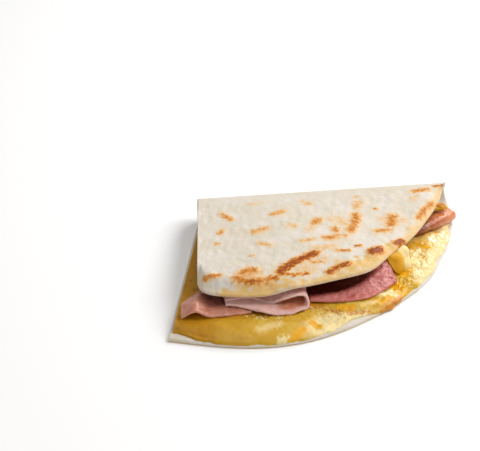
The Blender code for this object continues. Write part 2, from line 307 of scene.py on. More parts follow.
def strokes(x, y, lines):
    """The highest of some bells about bent lines: each is its height times exp(-(distance / width)^2)."""
    highest = np.zeros(x.shape)
    for height, width, points in lines:
        nearest = np.full(x.shape, np.inf)
        for (x0, y0), (x1, y1) in zip(points, points[1:] or points):
            run_x, run_y = x1 - x0, y1 - y0
            share = ((x - x0) * run_x + (y - y0) * run_y) / max(run_x**2 + run_y**2, 1.0)
            share = np.clip(share, 0.0, 1.0)
            nearest = np.minimum(nearest, np.hypot(x - x0 - share * run_x, y - y0 - share * run_y))
        highest = np.maximum(highest, height * np.exp(-((nearest / width) ** 2)))
    return highest


def torn(x, y, lines, size, seed):
    """Strokes whose bent lines wander: the place is first shifted by lumps of this size and of half of
    it."""
    shift_x = 0.22 * size * lumps(x, y, size, seed) + 0.10 * size * lumps(x, y, size / 2.0, seed + 1)
    shift_y = 0.22 * size * lumps(x, y, size, seed + 2) + 0.10 * size * lumps(x, y, size / 2.0, seed + 3)
    return strokes(x + shift_x, y + shift_y, lines)


# Outlines, in polar form about the tortilla's centre


def polar(angle, radius):
    turn = np.radians(angle)
    x = TORTILLA_CENTRE[0] + radius * np.cos(turn)
    y = TORTILLA_CENTRE[1] - radius * np.sin(turn)
    return x, y


def angle_and_radius(x, y):
    from_centre_x = x - TORTILLA_CENTRE[0]
    from_centre_y = TORTILLA_CENTRE[1] - y
    return np.degrees(np.arctan2(from_centre_y, from_centre_x)), np.hypot(from_centre_x, from_centre_y)


def lower_rim_radius(angle):
    """The tortilla's circle with a hand-rolled wobble, fuller by the fold's end and flat just after it."""
    wobble = (0.3 + RIM_WOBBLE * angle / 90.0) * np.cos(np.radians(360.0 * (angle - 82.0) / 52.0))
    return TORTILLA_RADIUS + wobble + RIM_FULLNESS * bump(angle, 9.0, 8.0) - RIM_FLAT * bump(angle, 30.0, 5.0)


def upper_rim_radius(angle):
    """The upper layer lies back from the lower rim, bulges in two places and has a rounded corner at
    the cut."""
    setback = FOLD_SETBACK * np.tanh(angle / 22.0) + FRONT_SETBACK * (angle / 105.0) ** 2
    bulges = UPPER_BULGES[0] * bump(angle, 12.0, 7.0) + UPPER_BULGES[1] * bump(angle, 56.0, 8.0)
    from_cut = UPPER_RIM_ANGLES[0] - np.minimum(angle, UPPER_RIM_ANGLES[0])
    corner = UPPER_CORNER * np.exp(-from_cut / 2.0)
    return TORTILLA_RADIUS - setback + bulges - corner


def cheese_margin(angle):
    """The bare rim outside the lower cheese: wider at both ends and at 66 degrees, none where cheese
    ran over."""
    at_cut = END_MARGINS[0] * rise(angle, 99.0, 12.0)
    at_fold = END_MARGINS[1] * smoothstep((18.0 - angle) / 14.0)
    return CHEESE_MARGIN + at_cut + at_fold + 2.2 * bump(angle, 66.0, 5.0) - 1.6 * bump(angle, 55.5, 3.5)


# Heights


def upper_height(x, y):
    """The outer face of the upper layer: it rises from the fold to a crown over the ham and droops at
    its rim."""
    angle, radius = angle_and_radius(x, y)
    from_fold = -y - FOLD_DEPTH
    crown = CROWN_RISE * rise(angle, 8.0, 55.0) - CROWN_FALL * rise(angle, 78.0, 30.0)
    waves = UPPER_WAVES * np.sin(x / 15.0 + 1.0) * np.sin(y / 19.0 + 0.6) * smoothstep(from_fold / 25.0)
    into_rim = smoothstep((radius - upper_rim_radius(angle) + DROOP_DEPTH) / DROOP_DEPTH) ** 1.6
    bend_down = RIM_DROOP + FRONT_DROOP * rise(angle, 77.0, 12.0)
    droop = bend_down * into_rim * smoothstep(from_fold / 12.0)
    return FOLD_HEIGHT + crown * smoothstep(from_fold / 70.0) + waves - droop


def upper_underside(x, y):
    """The inner face of the upper layer, lower where the layer slopes, as its thickness is across the
    slope."""
    step = 0.5
    slope_x = (upper_height(x + step, y) - upper_height(x - step, y)) / (2.0 * step)
    slope_y = (upper_height(x, y + step) - upper_height(x, y - step)) / (2.0 * step)
    return upper_height(x, y) - TORTILLA_THICKNESS * np.sqrt(1.0 + slope_x**2 + slope_y**2)


def lower_cheese_height(x, y):
    """The upper face of the lower cheese. It swells from a thin edge, stays a film round 71 degrees,
    mounds in front of the left ham and runs in ridges at the right."""
    angle, radius = angle_and_radius(x, y)
    inside = np.maximum(lower_rim_radius(angle) - cheese_margin(angle) - radius, 0.0)
    film = bump(angle, *CHEESE_FILM)
    swell = 1.0 - np.exp(-np.maximum(inside - FILM_DEPTH * film, 0.0) / 4.0)
    depth = LOWER_CHEESE_DEPTH - 1.2 * bump(angle, 8.0, 16.0)
    mound = CHEESE_MOUND * bump(angle, 92.0, 13.0) * bump(inside, 11.0, 8.0)
    waves = np.sin(inside / 2.0 + angle / 2.5) * bump(inside, 11.0, 7.0)
    ridges = CHEESE_RIDGES * bump(angle, 33.0, 14.0) * waves
    edge = CHEESE_EDGE + 0.3 * smoothstep(inside / 3.0)
    return TORTILLA_THICKNESS + GAP + edge + (depth - CHEESE_EDGE) * swell + mound + ridges


def ham_level(x, y, share):
    """The middle of a slice's thickness, at a share of the height that is free for it between the
    cheeses."""
    half = HAM_THICKNESS / 2.0
    low = lower_cheese_height(x, y) + GAP + half
    high = upper_underside(x, y) - FACET_SAG - UPPER_CHEESE_THICKNESS - 2.0 * GAP - half
    return mix(low, high, share)


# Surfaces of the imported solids: each takes a and b, from 0 to 1, and gives points in millimetres


def tortilla_outer(a, b):
    """The outer face of the folded tortilla: a runs from the cut, where the columns are closest, to the
    fold's end, and b from the lower rim, round the fold, to the upper rim."""
    flap, fold = FLAP_SHARE, FOLD_SHARE
    a = a**1.25
    turn = np.pi * np.clip((b - flap) / fold, 0.0, 1.0)
    fold_x = (FOLD_LENGTH + FOLD_END_SLANT * (1.0 + np.cos(turn)) / 2.0) * a
    fold_y = FOLD_DEPTH * (np.sin(turn) - 1.0)
    out_below = 1.0 - np.minimum(b / flap, 1.0)
    out_above = 1.0 - np.minimum((1.0 - b) / (1.0 - flap - fold), 1.0) ** 1.5
    lower_angle, upper_angle = mix(*LOWER_RIM_ANGLES, a), mix(*UPPER_RIM_ANGLES, a)
    lower_x, lower_y = polar(lower_angle, lower_rim_radius(lower_angle))
    upper_x, upper_y = polar(upper_angle, upper_rim_radius(upper_angle))
    x = fold_x + out_below * (lower_x - fold_x) + out_above * (upper_x - fold_x)
    y = fold_y + out_below * (lower_y - fold_y) + out_above * (upper_y - fold_y)
    fold_z = FOLD_HEIGHT * (1.0 - np.cos(turn)) / 2.0
    return x, y, np.where(b > flap + fold, upper_height(x, y), fold_z)


def drape_share(angle, width):
    """1 in the drape and 0 beyond it: a bell whose foot and top are cut off."""
    return smoothstep(1.5 * bump(angle, DRAPE_ANGLE, width) - 0.25)


def upper_cheese(a, b):
    """The layer under the upper tortilla, b from its rim to the fold. Round DRAPE_ANGLE its rim runs
    out past the tortilla's and down to the lower cheese."""
    angle = mix(*UPPER_CHEESE_ANGLES, a)
    drape = drape_share(angle, DRAPE_WIDTH)
    at_cut = UPPER_CORNER * np.exp((angle - UPPER_RIM_ANGLES[0]) / 4.0)
    inset = CHEESE_INSET + CHEESE_WAVE * np.sin(angle / 4.0) + at_cut
    inset = mix(inset, -DRAPE_REACH, drape * smoothstep((0.45 - b) / 0.25))
    x, y = polar(angle, upper_rim_radius(angle) - inset)
    back = rise(b, 0.25, 0.75)
    x, y = mix(x, mix(1.5, 122.0, a), back), mix(y, -14.0, back)
    hung = upper_underside(x, y) - FACET_SAG - GAP - UPPER_CHEESE_THICKNESS / 2.0
    landed = lower_cheese_height(x, y) + GAP + UPPER_CHEESE_THICKNESS
    return x, y, mix(hung, landed, drape * smoothstep((0.3 - b) / 0.3))


def folded(t, leaf, reach):
    """A slice folded in two, t from one free edge to the other: the share along its leaves, over 1 in
    the bend, and the level, 1 in the first leaf and 0 in the other."""
    turn = np.pi * np.clip((t - leaf) / (1.0 - 2.0 * leaf), 0.0, 1.0)
    along = np.minimum(np.minimum(t, 1.0 - t) / leaf, 1.0) + reach * np.sin(turn)
    return along, 0.5 + 0.5 * np.cos(turn)


def ham_left(a, b):
    """A single slice by the cut. Its front edge arches off the cheese in a ruffle that dies out farther
    back."""
    left = -0.8 - 6.0 * (1.0 - b) - 11.5 * fall(b, 0.1, 0.2)
    right = mix(18.0, 38.0, b)
    x, y = mix(left, right, a), mix(-103.5 - 1.5 * np.sin(np.pi * a), HAM_BACK, b)
    ruffle = HAM_RUFFLE * bump(a, 0.19, 0.13) * fall(b, 0.05, 0.3)
    return x, y, ham_level(x, y, 0.0) + ruffle


def ham_middle(a, b):
    """A slice folded in two with its bend at the right, b from its front edge to the fold. The lower
    leaf sags forward onto the cheese, the upper one sinks onto it in front, and the slice widens to the
    cut farther back."""
    across, level = folded(a, 0.43, 0.055)
    sag = rise(across, 0.43, 0.25)
    lower_front = -98.4 - 9.6 * smoothstep(across / 0.6) + 3.0 * rise(across, 0.8, 0.2)
    upper_front = -96.5 - 4.5 * rise(across, 0.2, 0.6)
    left = mix(mix(5.0, -6.8, rise(b, 0.05, 0.3)), -0.6, b)
    x = mix(left, mix(44.9, 40.0, b), across)
    y = mix(mix(lower_front, upper_front, level), HAM_BACK, b)
    in_front = 1.0 - smoothstep(b / 0.25)
    low = mix(0.55, 0.06, sag * in_front)
    high = 0.97 - HAM_SAG * bump(across, 0.56, 0.17) * in_front
    return x, y, ham_level(x, y, mix(low, high, level))


def ham_right(a, b):
    """A single slice, b from its front edge inwards. It lies low at the left, under an open gap, and
    climbs to the upper cheese at the right."""
    angle = mix(74.0, 48.0, a)
    x, y = polar(angle, 116.5 - 13.0 * rise(angle, 56.0, 20.0))
    x, y = mix(x, mix(46.0, 82.0, a), b), mix(y, mix(HAM_BACK, -45.0, a), b)
    climb = smoothstep((b - mix(0.1, -0.04, a)) / mix(0.35, 0.28, a))
    folds = HAM_FOLDS * (1.0 + np.sin(9.0 * a + 1.0) * (1.0 - climb)) * smoothstep(b / 0.1)
    return x, y, ham_level(x, y, 0.83 * climb) + folds


def ham_corner(a, b):
    """A plump slice folded in two in the mouth at the fold's end, its bend towards the open rim."""
    along, level = folded(b, 0.38, 0.1)
    depth = 1.0 - along
    x, y = mix(117.0, 145.0, a), mix(-40.0, -24.5, a**1.5)
    x, y = mix(x, mix(116.0, 137.5, a), depth), mix(y, HAM_BACK + 2.0, depth)
    plump = 0.6 + 0.34 * np.sin(2.4 * a + 0.3)
    return x, y, ham_level(x, y, level * plump)


def upper_cheese_spread(a, b):
    """The upper cheese with its rows spread over 1.6 mm behind its rim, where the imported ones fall
    together."""
    x, y, z = upper_cheese(a, b)
    loose = 1.0 - drape_share(mix(*UPPER_CHEESE_ANGLES, a), DRAPE_WIDTH)
    together = 0.45
    fading = 1.0 - smoothstep((b - together) / (1.0 - together))
    inward = 1.6 * np.minimum(b / together, 1.0) * fading * loose
    plan_angle, radius = angle_and_radius(x, y)
    near_x, near_y = polar(plan_angle, radius - inward)
    return near_x, near_y, z + loose * (upper_underside(near_x, near_y) - upper_underside(x, y))


# Skins: closed bodies between two grids that share their border


def stations(count, first, last):
    """Samples from 0 to 1, even but for a quarter circle's spacing over the first and last shares, so
    that a rounded edge keeps its curve."""
    curve = 1.0 - np.cos(np.linspace(0.0, np.pi / 2.0, EDGE_ROWS))
    even = np.linspace(first, 1.0 - last, count - 2 * (EDGE_ROWS - 1))
    return np.concatenate((first * curve[:-1], even, 1.0 - last * curve[-2::-1]))


def rounding(points, radii):
    """The share of the full thickness: 1 inside, and sqrt(1 - (1 - distance / radius)^2) near each edge."""
    share = np.ones(points.shape[:2])
    for axis, (at_start, at_end) in enumerate(radii):
        steps = np.linalg.norm(np.diff(points, axis=axis), axis=2)
        from_start = np.insert(np.cumsum(steps, axis=axis), 0, 0.0, axis=axis)
        from_end = np.take(from_start, [-1], axis=axis) - from_start
        for away, radius in ((from_start, at_start), (from_end, at_end)):
            share = share * np.sqrt(1.0 - (1.0 - np.clip(away / radius, 0.0, 1.0)) ** 2)
    return share


def grid_normals(points):
    """The unit vector across each grid point: the cross product of the steps along a and along b."""
    normals = np.cross(np.gradient(points, axis=0), np.gradient(points, axis=1))
    return normals / np.linalg.norm(normals, axis=2, keepdims=True)


def raised(points, height):
    """The points moved up by their heights."""
    return points + height[..., None] * np.array((0.0, 0.0, 1.0))


def quads(index):
    corners = (index[:-1, :-1], index[1:, :-1], index[1:, 1:], index[:-1, 1:])
    return np.stack(corners, axis=-1).reshape(-1, 4)


def both_sides(over, under):
    """Values of the over grid, then those of the under grid without its border, which the two share."""
    kind = over.shape[2:]
    return np.concatenate((over.reshape(-1, *kind), under[1:-1, 1:-1].reshape(-1, *kind)))


def add_object(name, data):
    made = bpy.data.objects.new(name, data)
    bpy.context.scene.collection.objects.link(made)
    return made


def add_mesh(name, points, faces, marks, material):
    """An object from points in millimetres, with a number for each point under each mark's name."""
    data = bpy.data.meshes.new(name)
    places = (points - (*ORIGIN, 0.0)) * MM
    data.from_pydata(places.tolist(), [], faces)
    for mark, values in marks.items():
        store = data.attributes.new(mark, "FLOAT", "POINT")
        store.data.foreach_set("value", np.asarray(values, np.float32))
    data.shade_smooth()
    data.materials.append(material)
    piece = add_object(name, data)
    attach(piece, "root")
    return piece


def add_skin(name, over, under, marks, material):
    """A closed body between an over grid and an under grid. A mark is a grid of numbers, or one for
    each side."""
    columns, rows = over.shape[:2]
    index = np.arange(columns * rows).reshape(columns, rows)
    lower = index.copy()
    within = np.arange((columns - 2) * (rows - 2)).reshape(columns - 2, rows - 2)
    lower[1:-1, 1:-1] = columns * rows + within
    faces = np.concatenate((quads(index), quads(lower)[:, ::-1]))
    spread = {}
    for mark, values in marks.items():
        sides = values if isinstance(values, tuple) else (values, values)
        spread[mark] = both_sides(*sides)
    return add_mesh(name, both_sides(over, under), faces.tolist(), spread, material)


def grid_of(surface, a, b):
    a, b = np.meshgrid(a, b, indexing="ij")
    return a, b, np.stack(surface(a, b), axis=2)


def ball(columns, rows):
    """A unit ball: its points, row by row from the foot up with the two poles last, its four-sided
    faces and the triangles round its poles."""
    turns = np.linspace(0.0, 2.0 * np.pi, columns + 1)[:-1]
    tilts = np.linspace(-0.5, 0.5, rows + 2)[1:-1] * np.pi
    turn, tilt = np.meshgrid(turns, tilts)
    points = np.stack((np.cos(turn) * np.cos(tilt), np.sin(turn) * np.cos(tilt), np.sin(tilt)), axis=2)
    points = np.vstack((points.reshape(-1, 3), (0.0, 0.0, -1.0), (0.0, 0.0, 1.0)))
    ring = np.arange(rows * columns).reshape(rows, columns)
    around = np.roll(ring, -1, axis=1)
    sides = np.stack((ring[:-1], around[:-1], around[1:], ring[1:]), axis=2).reshape(-1, 4)
    foot = np.full(columns, rows * columns)
    at_foot = np.stack((around[0], ring[0], foot), axis=1)
    at_head = np.stack((ring[-1], around[-1], foot + 1), axis=1)
    return points, sides, np.concatenate((at_foot, at_head))


# Materials


def colour(red, green, blue):
    """A colour from its 0 to 255 display values, made linear."""
    share = np.array((red, green, blue)) / 255.0
    linear = np.where(share <= 0.04045, share / 12.92, ((share + 0.055) / 1.055) ** 2.4)
    return (*linear.tolist(), 1.0)


def add_node(tree, kind, settings=(), **inputs):
    """A node with inputs by name, or by number after an i. Each is a value or the socket that feeds it."""
    made = tree.nodes.new("ShaderNode" + kind)
    for setting, value in settings:
        setattr(made, setting, value)
    for key, value in inputs.items():
        numbered = key[0] == "i" and key[1:].isdigit()
        socket = made.inputs[int(key[1:])] if numbered else made.inputs[key.replace("_", " ")]
        if isinstance(value, bpy.types.NodeSocket):
            tree.links.new(value, socket)
        else:
            socket.default_value = value
    return made


def maths(tree, operation, first, second):
    settings = (("operation", operation),)
    return add_node(tree, "Math", settings, i0=first, i1=second).outputs[0]


def grain(tree, size, detail=3.0, stretch=(1.0, 1.0, 1.0), roughness=0.55):
    """Noise from 0 to 1 with features of about this size in millimetres."""
    place = add_node(tree, "TexCoord").outputs["Object"]
    scaled = add_node(tree, "Mapping", Vector=place, Scale=stretch).outputs["Vector"]
    scale = 1.0 / (size * MM)
    node = add_node(tree, "TexNoise", Vector=scaled, Scale=scale, Detail=detail, Roughness=roughness)
    return node.outputs["Fac"]


def mark_of(tree, name):
    return add_node(tree, "Attribute", (("attribute_name", name),)).outputs["Fac"]


def stepped(tree, value, low, high, start=0.0, end=1.0):
    """The value's place between low and high, smoothed, turned into start to end."""
    ends = {"From_Min": low, "From_Max": high, "To_Min": start, "To_Max": end}
    settings = (("interpolation_type", "SMOOTHSTEP"),)
    return add_node(tree, "MapRange", settings, Value=value, **ends).outputs["Result"]


def tint(tree, share, plain, tinted):
    """A colour that turns from plain to tinted by the share."""
    node = add_node(tree, "Mix", (("data_type", "RGBA"),), i0=share, i6=plain, i7=tinted)
    return node.outputs[2]


def layer(tree, base, mark, low, high, most, tone):
    """The base colour with a tone over it: none of it where the mark is low, and most where it is
    high."""
    return tint(tree, stepped(tree, mark, low, high, 0.0, most), base, colour(*tone))


def ragged(tree, mark, noise, amount):
    """A mark with a torn border: where it is above 0, the noise shifts it by up to this amount."""
    shift = maths(tree, "MULTIPLY", maths(tree, "SUBTRACT", noise, 0.5), 2.0 * amount)
    return maths(tree, "ADD", mark, maths(tree, "MULTIPLY", shift, stepped(tree, mark, 0.02, 0.3)))


def relief(tree, height, depth, before=None):
    """A bump of this depth in millimetres, on top of an earlier one."""
    node = add_node(tree, "Bump", Strength=1.0, Distance=depth * MM, Height=height)
    if before is not None:
        tree.links.new(before, node.inputs["Normal"])
    return node.outputs["Normal"]


def new_material(name, soak, soak_depths, coat, shine):
    """A moist food: light soaks into it by the soak weight to the depths in millimetres, coat wets it
    and shine is how strongly it mirrors."""
    material = bpy.data.materials.new(name)
    material.use_nodes = True
    shader = material.node_tree.nodes["Principled BSDF"]
    settings = {
        "Subsurface Weight": soak,
        "Subsurface Radius": soak_depths,
        "Subsurface Scale": MM,
        "Coat Weight": coat,
        "Coat Roughness": COAT_ROUGHNESS,
        "Specular IOR Level": shine,
    }
    for setting, value in settings.items():
        shader.inputs[setting].default_value = value
    return material, material.node_tree, shader


def flour_material():
    """Warm white flour tortilla, mottled, with a buttery band along its rim, painted shadow in the same
    tone along the lower rim, and speckled toast marks from tan to dark brown."""
    white, cream, wheat, crumb = (221, 213, 202), (215, 205, 187), (218, 200, 168), (238, 226, 200)
    grease_and_shade_tone, tan, toasted, scorched = (222, 178, 94), (228, 184, 120), (206, 126, 26), (144, 62, 0)
    material, tree, shader = new_material("flour tortilla", 0.05, (3.0, 2.0, 1.2), 0.0, 0.2)
    base = layer(tree, colour(*white), grain(tree, 16.0), 0.35, 0.65, 1.0, cream)
    base = layer(tree, base, grain(tree, 2.2, 4.0), 0.45, 0.75, 0.35, wheat)
    # The mark is butter soaked into the upper rim and painted shadow along the lower rim.
    greasy = ragged(tree, mark_of(tree, "greasy"), grain(tree, 5.0), 0.25)
    base = layer(tree, base, greasy, 0.25, 0.95, 0.85, grease_and_shade_tone)
    base = tint(tree, mark_of(tree, "crumb"), base, colour(*crumb))
    speckle = grain(tree, 2.4, 5.0, roughness=0.65)
    toast = ragged(tree, mark_of(tree, "toast"), speckle, 0.5)
    base = layer(tree, base, toast, 0.0, 0.55, 0.88, tan)
    base = layer(tree, base, toast, 0.32, 0.78, 0.92, toasted)
    scorch = maths(tree, "MULTIPLY", toast, stepped(tree, grain(tree, 1.3, 3.0), 0.3, 0.6, 0.7, 1.15))
    base = layer(tree, base, scorch, 0.66, 1.1, 0.94, scorched)
    tree.links.new(base, shader.inputs["Base Color"])
    tree.links.new(stepped(tree, greasy, 0.2, 0.9, 0.62, 0.42), shader.inputs["Roughness"])
    rough = relief(tree, grain(tree, 3.5, 3.0), 0.5)
    rough = relief(tree, grain(tree, 0.9, 4.0), 0.16, rough)
    tree.links.new(relief(tree, toast, 0.25, rough), shader.inputs["Normal"])
    return material


def cheese_material():
    """Melted cheese: tan gold that turns deep gold, with painted shade darkening it towards the cut, pale
    cream, egg yellow or browned by its marks, lightly lumped and smoother where it is wet."""
    honey, straw, golden, shade_bronze = (204, 156, 24), (214, 174, 64), (184, 128, 0), (128, 84, 0)
    cream, yolk, tan, browned = (244, 218, 158), (230, 166, 0), (206, 128, 34), (150, 78, 22)
    material, tree, shader = new_material("melted cheese", 0.22, (4.0, 2.2, 0.6), 0.1, 0.3)
    patchy = grain(tree, 7.0, 3.0)
    fine = grain(tree, 1.8, 4.0)
    base = layer(tree, colour(*honey), patchy, 0.38, 0.66, 1.0, straw)
    # Painted shade: the gold mark darkens the cheese towards the cut.
    gold = ragged(tree, mark_of(tree, "gold"), patchy, 0.3)
    base = layer(tree, base, gold, 0.2, 0.8, 0.9, golden)
    # Painted shade in mottled bronze patches where the gold mark is high.
    deep = maths(tree, "MULTIPLY", gold, stepped(tree, grain(tree, 11.0), 0.42, 0.68))
    base = layer(tree, base, deep, 0.5, 1.0, 0.7, shade_bronze)
    pale = ragged(tree, mark_of(tree, "pale"), fine, 0.18)
    base = layer(tree, base, pale, 0.15, 0.75, 0.95, cream)
    egg = ragged(tree, mark_of(tree, "egg"), patchy, 0.4)
    base = layer(tree, base, egg, 0.3, 0.6, 0.95, yolk)
    brown = ragged(tree, mark_of(tree, "brown"), fine, 0.5)
    base = layer(tree, base, brown, 0.2, 0.6, 0.85, tan)
    base = layer(tree, base, brown, 0.7, 1.0, 0.9, browned)
    tree.links.new(base, shader.inputs["Base Color"])
    wet = stepped(tree, mark_of(tree, "wet"), 0.0, 1.0, 0.45, 0.12)
    uneven = maths(tree, "MULTIPLY", fine, 0.1)
    tree.links.new(maths(tree, "ADD", wet, uneven), shader.inputs["Roughness"])
    rough = relief(tree, patchy, 0.25)
    tree.links.new(relief(tree, fine, 0.05, rough), shader.inputs["Normal"])
    return material


def ham_material(name, plain, deep, pale, inner):
    """Sliced cooked ham: plain pink mottled with a deeper one, pale streaks and edges, painted shade in an
    inner-side tone, and painted shade in dark red far in the filling."""
    material, tree, shader = new_material(name, 0.3, (3.0, 1.2, 0.7), 0.25, 0.5)
    mottle = grain(tree, 6.0, 3.0)
    streaks = grain(tree, 1.3, 4.0, (0.45, 1.0, 1.0), 0.65)
    base = layer(tree, colour(*plain), mottle, 0.4, 0.65, 1.0, deep)
    # Painted shade: the inner side, lying in a hollow or inside a fold, takes the darker inner tone.
    base = layer(tree, base, mark_of(tree, "inner"), 0.2, 0.8, 0.85, inner)
    base = layer(tree, base, streaks, 0.52, 0.78, 0.55, pale)
    base = layer(tree, base, mark_of(tree, "edge"), 0.3, 1.0, 0.5, pale)
    # Painted shade: ham far in the filling is darkened to deep red.
    base = tint(tree, mark_of(tree, "far_in"), base, colour(*PAINTED_SHADE_TONE))
    tree.links.new(base, shader.inputs["Base Color"])
    tree.links.new(stepped(tree, mottle, 0.35, 0.7, 0.28, 0.46), shader.inputs["Roughness"])
    rough = relief(tree, streaks, 0.3)
    tree.links.new(relief(tree, grain(tree, 0.8, 3.0), 0.12, rough), shader.inputs["Normal"])
    return material


# Pieces


def underside_toast(count):
    """Marks of the underside at seeded places: darkness, width and a short line."""
    draw = np.random.default_rng(8)
    places = [draw.uniform(low, high, count) for low, high in ((-15, 140), (-120, -4), (-5, 5), (-5, 5))]
    return [
        (draw.uniform(0.35, 0.9), draw.uniform(1.5, 3.4), ((x, y), (x + run_x, y + run_y)))
        for x, y, run_x, run_y in zip(*places)
    ]


def tortilla_toast(b, outer):
    """How browned the tortilla is: the marks of its upper layer, its underside and its fold, each kept
    to its own part of b."""
    x, y, z = outer[..., 0], outer[..., 1], outer[..., 2]
    browned = [(TOAST_SCALES[0] * dark, TOAST_SCALES[1] * width, points) for dark, width, points in TOAST]
    toast = torn(x, y, browned, 2.6, 61) * rise(b, 0.5, 0.06)
    toast = toast + torn(x, y, underside_toast(46), 7.0, 71) * fall(b, 0.3, 0.1)
    on_fold = rise(b, 0.3, 0.03) * fall(b, 0.49, 0.03)
    return toast + torn(x, z, FOLD_TOAST, 5.0, 77) * on_fold


def make_tortilla(material):
    """One folded sheet: the middle of its thickness lies 1.1 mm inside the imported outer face, and both
    faces close in a half circle round its rims and a sharper edge at the cut. The upper layer gets
    shallow blisters, higher where it browned, and two knobs at its rim."""
    folded_share = FLAP_SHARE + FOLD_SHARE
    lower_rows = FLAP_SHARE * stations(56, 0.008, 0.01)
    fold_rows = np.linspace(FLAP_SHARE, folded_share, 34)[1:-1]
    upper_rows = folded_share + (1.0 - folded_share) * stations(118, 0.01, 0.018)
    rows = np.concatenate((lower_rows, fold_rows, upper_rows))
    a, b, outer = grid_of(tortilla_outer, stations(216, 0.002, 0.006), rows)
    x, y = outer[..., 0], outer[..., 1]
    flat = fall(b, 0.2, 0.1)[..., None]
    inward = mix(grid_normals(outer), np.array((0.0, 0.0, 1.0)), flat)
    inward = inward / np.linalg.norm(inward, axis=2, keepdims=True)
    half = TORTILLA_THICKNESS / 2.0
    share = rounding(outer, ((0.3, half), (half, half)))
    upper = smoothstep((b - folded_share) / 0.06)
    toast = tortilla_toast(b, outer)
    blisters = 0.14 * lumps(x, y, 13.0, 3) + 0.08 * lumps(x, y, 5.0, 4) + 0.25 * np.minimum(toast, 1.0)
    lift = (blisters + strokes(x, y, KNOBS)) * upper
    middle = outer + inward * half
    inner = middle + inward * (half * share)[..., None]
    outside = middle - inward * ((half + lift) * share)[..., None]
    angle, radius = angle_and_radius(x, y)
    from_rim = np.maximum(upper_rim_radius(angle) - radius, 0.0)
    band = bump(from_rim, 1.0, 5.0) * (0.55 + 0.45 * smoothstep((88.0 - angle) / 20.0)) * upper
    band = np.maximum(0.75 * band, torn(x, y, BUTTER, 6.0, 81) * upper)
    # Painted shadow: a darker buttery tone along the lower rim's edge, in front.
    lower_rim_shadow = 0.75 * (1.0 - smoothstep(b / 0.012)) * rise(angle, 36.0, 20.0)
    marks = {
        "toast": (toast * 0.0, toast),
        "greasy": (band * 0.6, band + lower_rim_shadow),
        "crumb": bump(a, 0.0, 0.0012),
    }
    piece = add_skin("flour_tortilla", inner, outside, marks, material)
    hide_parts("tortilla")


def cheese_marks(x, y):
    """Where cheese is deep gold, with painted shade towards the cut, egg yellow, pale, browned or wet,
    by its place in plan.
    """
    angle, radius = angle_and_radius(x, y)
    inside = lower_rim_radius(angle) - radius
    # Painted shade: deeper gold towards the cut; the cheese is also deeper gold far in from the rim.
    gold = 0.45 * rise(angle, 86.0, 9.0) + 0.55 * rise(angle, 98.0, 8.0)
    gold = gold + 0.7 * rise(inside, 14.0, 6.0) * rise(angle, 40.0, 8.0)
    film = 0.85 * bump(angle, 72.0, 8.0) * fall(inside, 9.0, 5.0)
    pool = smoothstep((46.0 - angle) / 6.0)
    strings = torn(x, y, STRINGS, 7.0, 91)
    outer = 1.0 - rise(inside, 3.0, 6.0)
    cream = 0.45 + 0.6 * rise(strings, 0.15, 0.35) + 0.45 * outer
    pale = torn(x, y, PALE, 3.0, 101)
    yolk = 0.45 * pool * (1.0 - smoothstep(strings / 0.35)) * (1.0 - outer) * (1.0 - pale)
    return {
        "gold": np.clip(gold, 0.0, 1.0),
        "egg": np.maximum(torn(x, y, EGG_YELLOW, 2.0, 95), yolk),
        "pale": np.maximum(np.maximum(pale, film), pool * cream),
        "brown": torn(x, y, BROWNED, 3.0, 98),
        "wet": smoothstep((62.0 - angle) / 14.0),
    }


def ragged_margin(angle):
    """The bare rim outside the dressed cheese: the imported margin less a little, frayed by lumps, and
    below 0 round 55 degrees, where the cheese ran over the tortilla's rim."""
    along = 2.2 * angle
    frayed = 0.7 * lumps(along, 0.0 * angle, 11.0, 11) + 0.35 * lumps(along, 0.0 * angle, 3.5, 12)
    over = bump(angle, 55.5, 4.5)
    late = rise(angle, 99.0, 12.0) - rise(angle, 104.5, 7.0)
    margin = cheese_margin(angle) - 0.3 - 0.9 * bump(angle, 90.0, 13.0) - END_MARGINS[0] * late
    return np.maximum(margin + 0.7 * frayed, 0.15) * (1.0 - over) - (0.9 + 0.5 * frayed) * over


def make_lower_cheese(material):
    """The cheese on the lower layer: its packed height with lumps, strings and a bubbly belt in front
    of the ham. Its rim is ragged and rounded, flatter at the right, and hangs down where it runs over
    the tortilla's rim and a little in front."""
    open_share = 0.30
    open_rows = open_share * stations(100, 0.03, 0.01)[:-1]
    rows = np.concatenate((open_rows, np.linspace(open_share, 1.0, 48)))
    a, b = np.meshgrid(stations(330, 0.004, 0.004), rows, indexing="ij")
    angle = mix(LOWER_RIM_ANGLES[0] - 0.5, 6.5, a)
    x, y = polar(angle, lower_rim_radius(angle) - ragged_margin(angle))
    back = b**1.4
    x, y = mix(x, mix(1.0, 134.0, a), back), mix(y, -10.0, back)
    angle, radius = angle_and_radius(x, y)
    inside = lower_rim_radius(angle) - radius
    calm = 1.0 - 0.6 * rise(angle, 74.0, 8.0)
    swell = calm * (0.28 * lumps(x, y, 9.0, 21) + 0.14 * lumps(x, y, 4.0, 22))
    swell = swell + strokes(x, y, BELT) * np.abs(0.45 * lumps(x, y, 2.4, 23))
    strings = 1.15 * torn(x, y, STRINGS, 7.0, 91)
    film = 0.5 * bump(angle, 71.0, 6.0) * fall(inside, 9.0, 5.0)
    height = lower_cheese_height(x, y) - CHEESE_SEAT + CHEESE_LIFT
    height = height + swell * smoothstep(inside / 4.0) + strings - film
    level = np.stack((x, y, np.full_like(x, CHEESE_SEAT)), axis=2)
    flatter = 0.45 * smoothstep((48.0 - angle) / 6.0)
    share = rounding(level, ((0.35, 1.2), (1.3, 1.2))) * mix(1.0, smoothstep(inside / 6.0), flatter)
    in_front = bump(angle, 90.0, 14.0) * (1.0 - smoothstep(inside / 1.3))
    hang = 1.3 * smoothstep(0.2 - inside) + 0.7 * in_front
    top, seat = raised(level, height * share - hang), raised(level, -hang)
    piece = add_skin("cheese_pool", top, seat, cheese_marks(x, y), material)
    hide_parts("cheese_lower")


